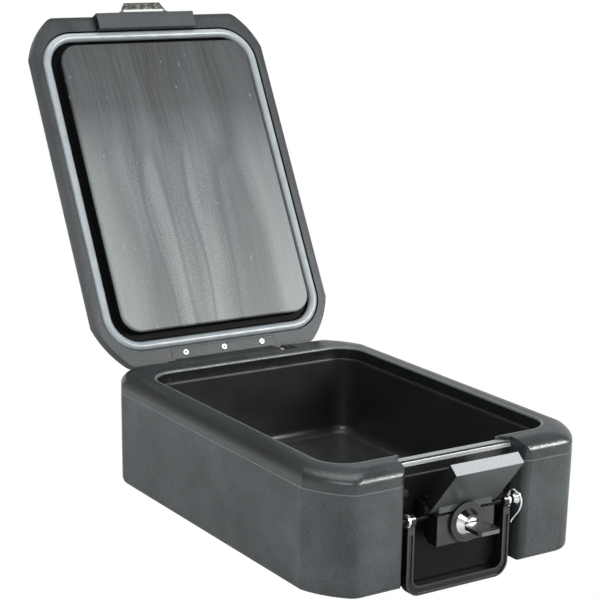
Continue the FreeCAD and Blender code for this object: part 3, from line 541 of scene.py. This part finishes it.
def block_satin():
    """Dark satin lock block, with painted shade in a fine groove round its boss, on the ring behind it, on
    its sides and, darker still, on its ears.
    """
    mat, nt, bsdf, vec, col = plastic(
        "block_satin", dark=(0.024, 0.026, 0.027), light=(0.044, 0.048, 0.049),
        rough=0.34, grain=0.12, grain_scale=1000.0)
    x, y, z = split(nt, vec)
    ax = off_zero(nt, x)
    # Painted shade in the groove round the boss and on the ring behind it
    r = length(nt, x, take(nt, z, LOCK_Z))
    groove = times(nt, band(nt, r, GROOVE_IN, GROOVE_OUT), under(nt, y, GROOVE_Y))
    ring = times(nt, band(nt, r, RING_IN, RING_OUT), over(nt, y, RING_Y))
    col = tint(nt, col, larger(nt, groove, ring), (0.005, 0.005, 0.005))
    # Painted shade on the sides, and darker painted shade on the ears
    flank = over(nt, ax, BLOCK_SIDE)
    col = tint(nt, col, flank, (0.005, 0.005, 0.005))
    ears = over(nt, ax, BLOCK_EAR)
    col = tint(nt, col, ears, (0.003, 0.003, 0.003))
    paint(nt, bsdf, col)
    dull(nt, bsdf, flank, gloss=0.45, drop=0.38)
    return mat


# Handle: its axle, how far before and below it the painted highlights on its edges start, and its bright
# bushes
AXLE_Y, AXLE_Z = -0.168, 0.067
HIGHLIGHT_FRONT, HIGHLIGHT_BELOW = 0.00385, 0.006
BUSH_R, BUSH_X = 0.0059, 0.0503


def handle_black():
    """Glossy black bail with painted highlights on the edges of its front rims and bright bushes at its
    eyes.
    """
    mat, nt, bsdf, vec, col = plastic(
        "handle_black", dark=(0.004, 0.004, 0.004), light=(0.010, 0.010, 0.010),
        rough=0.18, grain=0.10, grain_scale=FINE)
    x, y, z = split(nt, vec)
    # Painted highlight on the edges of the front rims
    pale_edge = times(nt, under(nt, y, AXLE_Y - HIGHLIGHT_FRONT), under(nt, z, AXLE_Z - HIGHLIGHT_BELOW))
    col = tint(nt, col, pale_edge, (0.055, 0.056, 0.055), amount=0.6)
    r = length(nt, take(nt, y, AXLE_Y), take(nt, z, AXLE_Z))
    bush = times(nt, under(nt, r, BUSH_R), over(nt, off_zero(nt, x), BUSH_X))
    col = tint(nt, col, bush, (0.78, 0.79, 0.80))
    paint(nt, bsdf, col)
    feed(nt, times(nt, bush, 0.9), bsdf.inputs["Metallic"])
    return mat


# Key: the front of its bow, the pale line behind that, and where its blade begins
BOW_FRONT, BOW_LINE_FROM, BOW_LINE_TO, BOW_LINE_HALF = -0.21105, -0.2085, -0.2078, 0.008
BLADE_Y = -0.1893


def key_black():
    """Black key whose bow has a pale front and a pale line behind it, and whose blade is bright."""
    mat, nt, bsdf, vec, col = plastic(
        "key_black", dark=(0.007, 0.007, 0.0075), light=(0.016, 0.016, 0.0165),
        rough=0.20, grain=0.10, grain_scale=FINE)
    x, y = split(nt, vec)[:2]
    pale_edge = times(nt, band(nt, y, BOW_LINE_FROM, BOW_LINE_TO), band(nt, x, -BOW_LINE_HALF, BOW_LINE_HALF))
    pale_edge = larger(nt, under(nt, y, BOW_FRONT), pale_edge)
    col = tint(nt, col, pale_edge, (0.16, 0.16, 0.155), amount=0.8)
    blade = over(nt, y, BLADE_Y)
    col = tint(nt, col, blade, (0.75, 0.74, 0.68))
    paint(nt, bsdf, col)
    feed(nt, times(nt, blade, 0.85), bsdf.inputs["Metallic"])
    return mat


def collar_metal():
    """Hinge pin with bright zinc collars."""
    mat, nt, bsdf = tree("collar_zinc")
    n = noise(nt, coords(nt), scale=260.0)
    paint(nt, bsdf, speckle(nt, n, (0.52, 0.53, 0.52), (0.78, 0.79, 0.78)))
    bsdf.inputs["Metallic"].default_value = 0.35
    roughen(nt, bsdf, n, spread=0.2, base=0.25)
    bump(nt, bsdf, n, strength=0.08, distance=0.0003)
    return mat


# Striker: its bright bend, and where its dark ends begin
BEND_FROM, BEND_TO, STRIKER_END = -0.1845, -0.1822, 0.0225


def striker_metal():
    """Dark mottled plate of the striker, bright along its bend."""
    mat, nt, bsdf = tree("striker_steel")
    vec = coords(nt, lid=True)
    x, y = split(nt, vec)[:2]
    blotch = noise(nt, vec, scale=420.0, rough=0.6)
    col = ramp(nt, blotch, [
        (0.36, (0.030, 0.032, 0.028)), (0.54, (0.130, 0.132, 0.118)), (0.70, (0.400, 0.400, 0.360))])
    col = tint(nt, col, band(nt, y, BEND_FROM, BEND_TO), (0.820, 0.830, 0.780))
    ends = over(nt, off_zero(nt, x), STRIKER_END)
    col = tint(nt, col, ends, (0.020, 0.020, 0.019), amount=0.75)
    paint(nt, bsdf, col)
    bsdf.inputs["Metallic"].default_value = 0.6
    roughen(nt, bsdf, blotch, spread=0.2, base=0.28)
    bump(nt, bsdf, blotch, strength=0.12, distance=0.0003)
    return mat


# Middles of the screw heads on the hinge leaf and on the bay plate, whose recesses get painted shade
LEAF_SPOTS = [(x, 0.1711, 0.1188) for x in (-0.043, 0.0, 0.043)]
PLATE_SPOTS = [(x, -0.1638, 0.088) for x in (-0.049, 0.049)]

# Materials, and which of them each piece has
# Black plate at the back of the bay; its skirt, reaching below the body, is a dark sheet that stands in
# for the shadow under the box seen through the handle
bay_black = plastic(
    "bay_black", dark=(0.004, 0.0042, 0.0042), light=(0.008, 0.0085, 0.0085),
    rough=0.45, grain=0.10, grain_scale=FINE, gloss=0.12)[0]
dark_steel = metal(
    "dark_steel", dark=(0.05, 0.05, 0.05), light=(0.09, 0.09, 0.09),
    rough=0.30, holes=PLATE_SPOTS, hole_r=0.0011)[0]
leaf_screw = metal(
    "leaf_screw_steel", dark=(0.42, 0.42, 0.41), light=(0.54, 0.54, 0.53),
    rough=0.34, lid=True, holes=LEAF_SPOTS)[0]
MATS = {
    "body": body_plastic(),
    "rim": rim_plastic(),
    "lid": lid_plastic(),
    "liner": liner_plastic(),
    "bay": bay_black,
    "panel": panel_plastic(),
    "seal": rubber("seal_grey", (0.330, 0.372, 0.392), (0.400, 0.442, 0.460), rough=0.16, lid=True),
    "pad": rubber("pad_rubber", (0.012, 0.012, 0.012), (0.025, 0.025, 0.025), rough=0.6),
    "lever": lever_paint(),
    "block": block_satin(),
    "handle": handle_black(),
    "chrome": metal("chrome", (0.74, 0.75, 0.76), (0.86, 0.87, 0.88), rough=0.10)[0],
    "lock_chrome": lock_metal(),
    "steel": metal("steel", (0.58, 0.59, 0.60), (0.74, 0.75, 0.75), rough=0.20)[0],
    "dark_steel": dark_steel,
    # Handle pins drawn near black as painted shade, for the dark they sit in between the caps and the
    # block
    "pin_painted_shade": metal("pin_painted_shade", (0.010, 0.010, 0.010), (0.018, 0.018, 0.018), rough=0.45)[0],
    "leaf_screw": leaf_screw,
    "collar": collar_metal(),
    "striker": striker_metal(),
    "key": key_black(),
    "fill": rubber("fill_grey", (0.40, 0.39, 0.37), (0.52, 0.50, 0.48), rough=0.7),
}
USE = {
    "outer_shell": "body", "rim_frame": "rim", "inner_liner": "liner", "body_insulation": "fill",
    "base_pad": "pad", "bay_plate": "bay", "plate_screws": "dark_steel", "lock_block": "block",
    "lever_pin": "dark_steel", "lock_cylinder": "lock_chrome", "lock_nut": "steel",
    "handle_pins": "pin_painted_shade", "pin_caps": "chrome", "wire_clip": "chrome", "hinge_pin": "collar",
    "lid_shell": "lid", "lid_insulation": "fill", "lid_panel": "panel", "seal_tube": "seal",
    "hinge_leaf": "lid", "leaf_screws": "leaf_screw", "striker": "striker", "striker_rivets": "striker",
    "latch_lever": "lever", "lock_plug": "chrome", "lock_cam": "steel", "cam_screw": "steel",
    "key": "key", "bail_handle": "handle",
}
# Width of the softened edges
SOFTEN = {
    "outer_shell": 0.0012, "rim_frame": 0.0010, "lid_shell": 0.0009, "lock_block": 0.0009,
    "latch_lever": 0.0006, "bail_handle": 0.0007, "key": 0.0005, "striker": 0.0004,
    "lock_cylinder": 0.0005, "inner_liner": 0.0008, "bay_plate": 0.0006, "pin_caps": 0.0010,
    "plate_screws": 0.0005, "leaf_screws": 0.0004, "hinge_leaf": 0.0005,
}
SHARP = math.radians(34.0)
for name, key in USE.items():
    obj = nodes[name]
    obj.data.materials.clear()
    obj.data.materials.append(MATS[key])
    for poly in obj.data.polygons:
        poly.use_smooth = True
    obj.data.set_sharp_from_angle(angle=SHARP)
    if name in SOFTEN:
        mod = obj.modifiers.new("soft_edges", "BEVEL")
        mod.width = SOFTEN[name]
        mod.segments = 3
        mod.limit_method = "ANGLE"
        mod.angle_limit = SHARP

# Floor and light
WHITE = (1.0, 1.0, 1.0, 1.0)
FAR = 8.0


def white_to_camera(nt, plain, white, output):
    """Show the white shader to the camera, and the plain one to all other rays."""
    path = put(nt, "ShaderNodeLightPath")
    pick = put(nt, "ShaderNodeMixShader")
    feed(nt, path.outputs["Is Camera Ray"], pick.inputs["Fac"])
    feed(nt, plain.outputs[0], pick.inputs[1])
    feed(nt, white.outputs[0], pick.inputs[2])
    feed(nt, pick.outputs[0], nt.nodes[output].inputs["Surface"])


floor_mesh = bpy.data.meshes.new("floor")
floor_corners = [(-FAR, -FAR, 0), (FAR, -FAR, 0), (FAR, FAR, 0), (-FAR, FAR, 0)]
floor_mesh.from_pydata(floor_corners, [], [(0, 1, 2, 3)])
floor = bpy.data.objects.new("floor", floor_mesh)
scene.collection.objects.link(floor)
floor_mat, floor_nodes, floor_bsdf = tree("floor_white")
floor_bsdf.inputs["Base Color"].default_value = (0.86, 0.86, 0.86, 1.0)
floor_bsdf.inputs["Roughness"].default_value = 0.8
floor_glow = put(floor_nodes, "ShaderNodeEmission")
floor_glow.inputs["Color"].default_value = WHITE
white_to_camera(floor_nodes, floor_bsdf, floor_glow, "Material Output")
floor_mesh.materials.append(floor_mat)

world = bpy.data.worlds.new("studio")
scene.world = world
world.use_nodes = True
world_nodes = world.node_tree
studio = world_nodes.nodes["Background"]
sky = put(world_nodes, "ShaderNodeTexCoord")
height = split(world_nodes, sky.outputs["Generated"])[2]
sky_tone = ramp(world_nodes, height, [
    (0.0, (0.90, 0.915, 0.93)), (0.22, (0.86, 0.875, 0.89)), (0.40, (0.40, 0.41, 0.42)),
    (0.75, (0.36, 0.37, 0.38)), (1.0, (0.60, 0.61, 0.62))])
feed(world_nodes, sky_tone, studio.inputs["Color"])
studio.inputs["Strength"].default_value = 0.86
backdrop = put(world_nodes, "ShaderNodeBackground")
backdrop.inputs["Color"].default_value = WHITE
backdrop.inputs["Strength"].default_value = 1.0
white_to_camera(world_nodes, studio, backdrop, "World Output")


def area(name, place, aim, wide, tall, power):
    data = bpy.data.lights.new(name, "AREA")
    data.shape = "RECTANGLE"
    data.size = wide
    data.size_y = tall
    data.energy = power
    obj = bpy.data.objects.new(name, data)
    scene.collection.objects.link(obj)
    obj.location = place
    obj.rotation_euler = (Vector(aim) - Vector(place)).to_track_quat("-Z", "Y").to_euler()
    return obj


area("key_light", (-1.5, -1.1, 1.5), (0.0, 0.0, 0.1), wide=1.0, tall=1.0, power=18.0)
area("front_right", (1.3, -1.5, 1.0), (0.0, -0.1, 0.1), wide=0.9, tall=1.2, power=24.0)
area("top_light", (0.1, 0.3, 2.0), (0.0, 0.0, 0.1), wide=1.4, tall=1.2, power=16.0)
# The edge light only makes highlights, and the rear light makes none
edge_light = area("edge_light", (0.95, -1.2, 0.8), (0.0, -0.17, 0.11), wide=1.4, tall=0.14, power=32.0)
edge_light.visible_diffuse = False
rear_light = area("rear_light", (-0.6, 1.9, 0.6), (-0.1, 0.2, 0.06), wide=0.6, tall=0.6, power=10.0)
rear_light.visible_glossy = False

# Camera: its angles, its distance from a point above the box, and its focal length and centre in pixels
AZIMUTH, RISE, ROLL = math.radians(33.277), math.radians(13.155), math.radians(1.095)
AIM, DISTANCE = Vector((-0.047452, 0.0, 0.213438)), 1.517748
FOCAL, CENTRE_X, CENTRE_Y = 1773.286, 298.849, 299.168
PICTURE, SENSOR = 600.0, 36.0
back = Vector((-math.sin(AZIMUTH) * math.cos(RISE), -math.cos(AZIMUTH) * math.cos(RISE), math.sin(RISE)))
level = Vector((math.cos(AZIMUTH), -math.sin(AZIMUTH), 0.0))
upward = back.cross(level)
right = level * math.cos(ROLL) + upward * math.sin(ROLL)
up = upward * math.cos(ROLL) - level * math.sin(ROLL)
cam_data = bpy.data.cameras.new("camera")
cam = bpy.data.objects.new("camera", cam_data)
scene.collection.objects.link(cam)
turned = Matrix((right, up, back)).transposed().to_4x4()
cam.matrix_world = Matrix.Translation(AIM + back * DISTANCE) @ turned
cam_data.sensor_width = SENSOR
cam_data.lens = SENSOR * FOCAL / PICTURE
cam_data.shift_x = (PICTURE / 2 - CENTRE_X) / PICTURE
cam_data.shift_y = (CENTRE_Y - PICTURE / 2) / PICTURE
cam_data.clip_start = 0.05
cam_data.clip_end = 30.0
scene.camera = cam
scene.view_settings.view_transform = "Standard"
